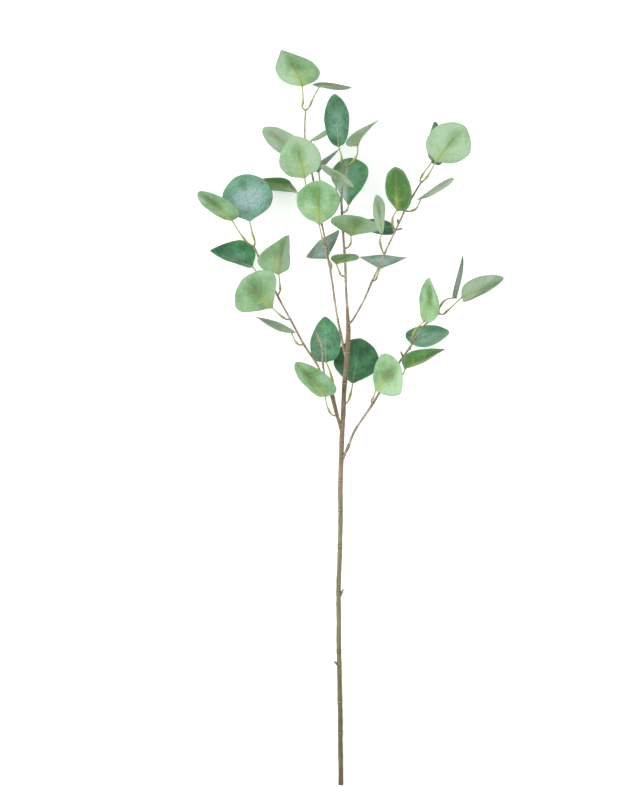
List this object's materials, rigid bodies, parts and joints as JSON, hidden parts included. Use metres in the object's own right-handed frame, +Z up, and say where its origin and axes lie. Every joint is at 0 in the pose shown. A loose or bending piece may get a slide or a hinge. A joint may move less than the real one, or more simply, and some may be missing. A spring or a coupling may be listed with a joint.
{
  "type": "eucalyptus branch",
  "caption": "Cut eucalyptus branch lying flat, with a forking woody stem and rounded leaves on thin stalks, used as greenery in a vase or an arrangement.",
  "frame": {"origin": "centre of the base of the whole branch's box, on the table it lies on", "axes": "+Y along the branch, from its cut end towards its leafy top; +X to its right, seen from above; +Z up, away from the table"},
  "size_m": [0.3572, 0.8533, 0.1033],
  "materials": {
    "bark": "matt young bark",
    "leaf_pale": "matt pale underside",
    "leaf_dark": "waxy dark upper side"
  },
  "bodies": {
    "root": {"stem": "bark", "leaf_left_1": "leaf_pale", "leaf_left_2": "leaf_dark", "leaf_left_3": "leaf_pale", "leaf_left_4": "leaf_pale", "leaf_left_5": "leaf_pale", "leaf_left_6": "leaf_dark", "leaf_left_7": "leaf_pale", "leaf_left_8": "leaf_dark", "leaf_main_1": "leaf_dark", "leaf_main_2": "leaf_pale", "leaf_main_3": "leaf_pale", "leaf_main_4": "leaf_dark", "leaf_main_5": "leaf_pale", "leaf_main_6": "leaf_dark", "leaf_main_7": "leaf_pale", "leaf_top_1": "leaf_dark", "leaf_top_2": "leaf_pale", "leaf_top_3": "leaf_pale", "leaf_top_4": "leaf_dark", "leaf_top_5": "leaf_pale", "leaf_top_6": "leaf_pale", "leaf_top_7": "leaf_pale", "leaf_top_8": "leaf_pale", "leaf_top_9": "leaf_pale", "leaf_right_1": "leaf_dark", "leaf_right_2": "leaf_pale", "leaf_right_3": "leaf_dark", "leaf_right_4": "leaf_pale", "leaf_right_5": "leaf_pale", "leaf_right_6": "leaf_dark", "leaf_right_7": "leaf_pale", "leaf_low_1": "leaf_pale", "leaf_low_2": "leaf_pale", "leaf_low_3": "leaf_dark", "leaf_low_4": "leaf_pale", "leaf_low_5": "leaf_dark", "leaf_low_6": "leaf_pale"}
  },
  "joints": []
}
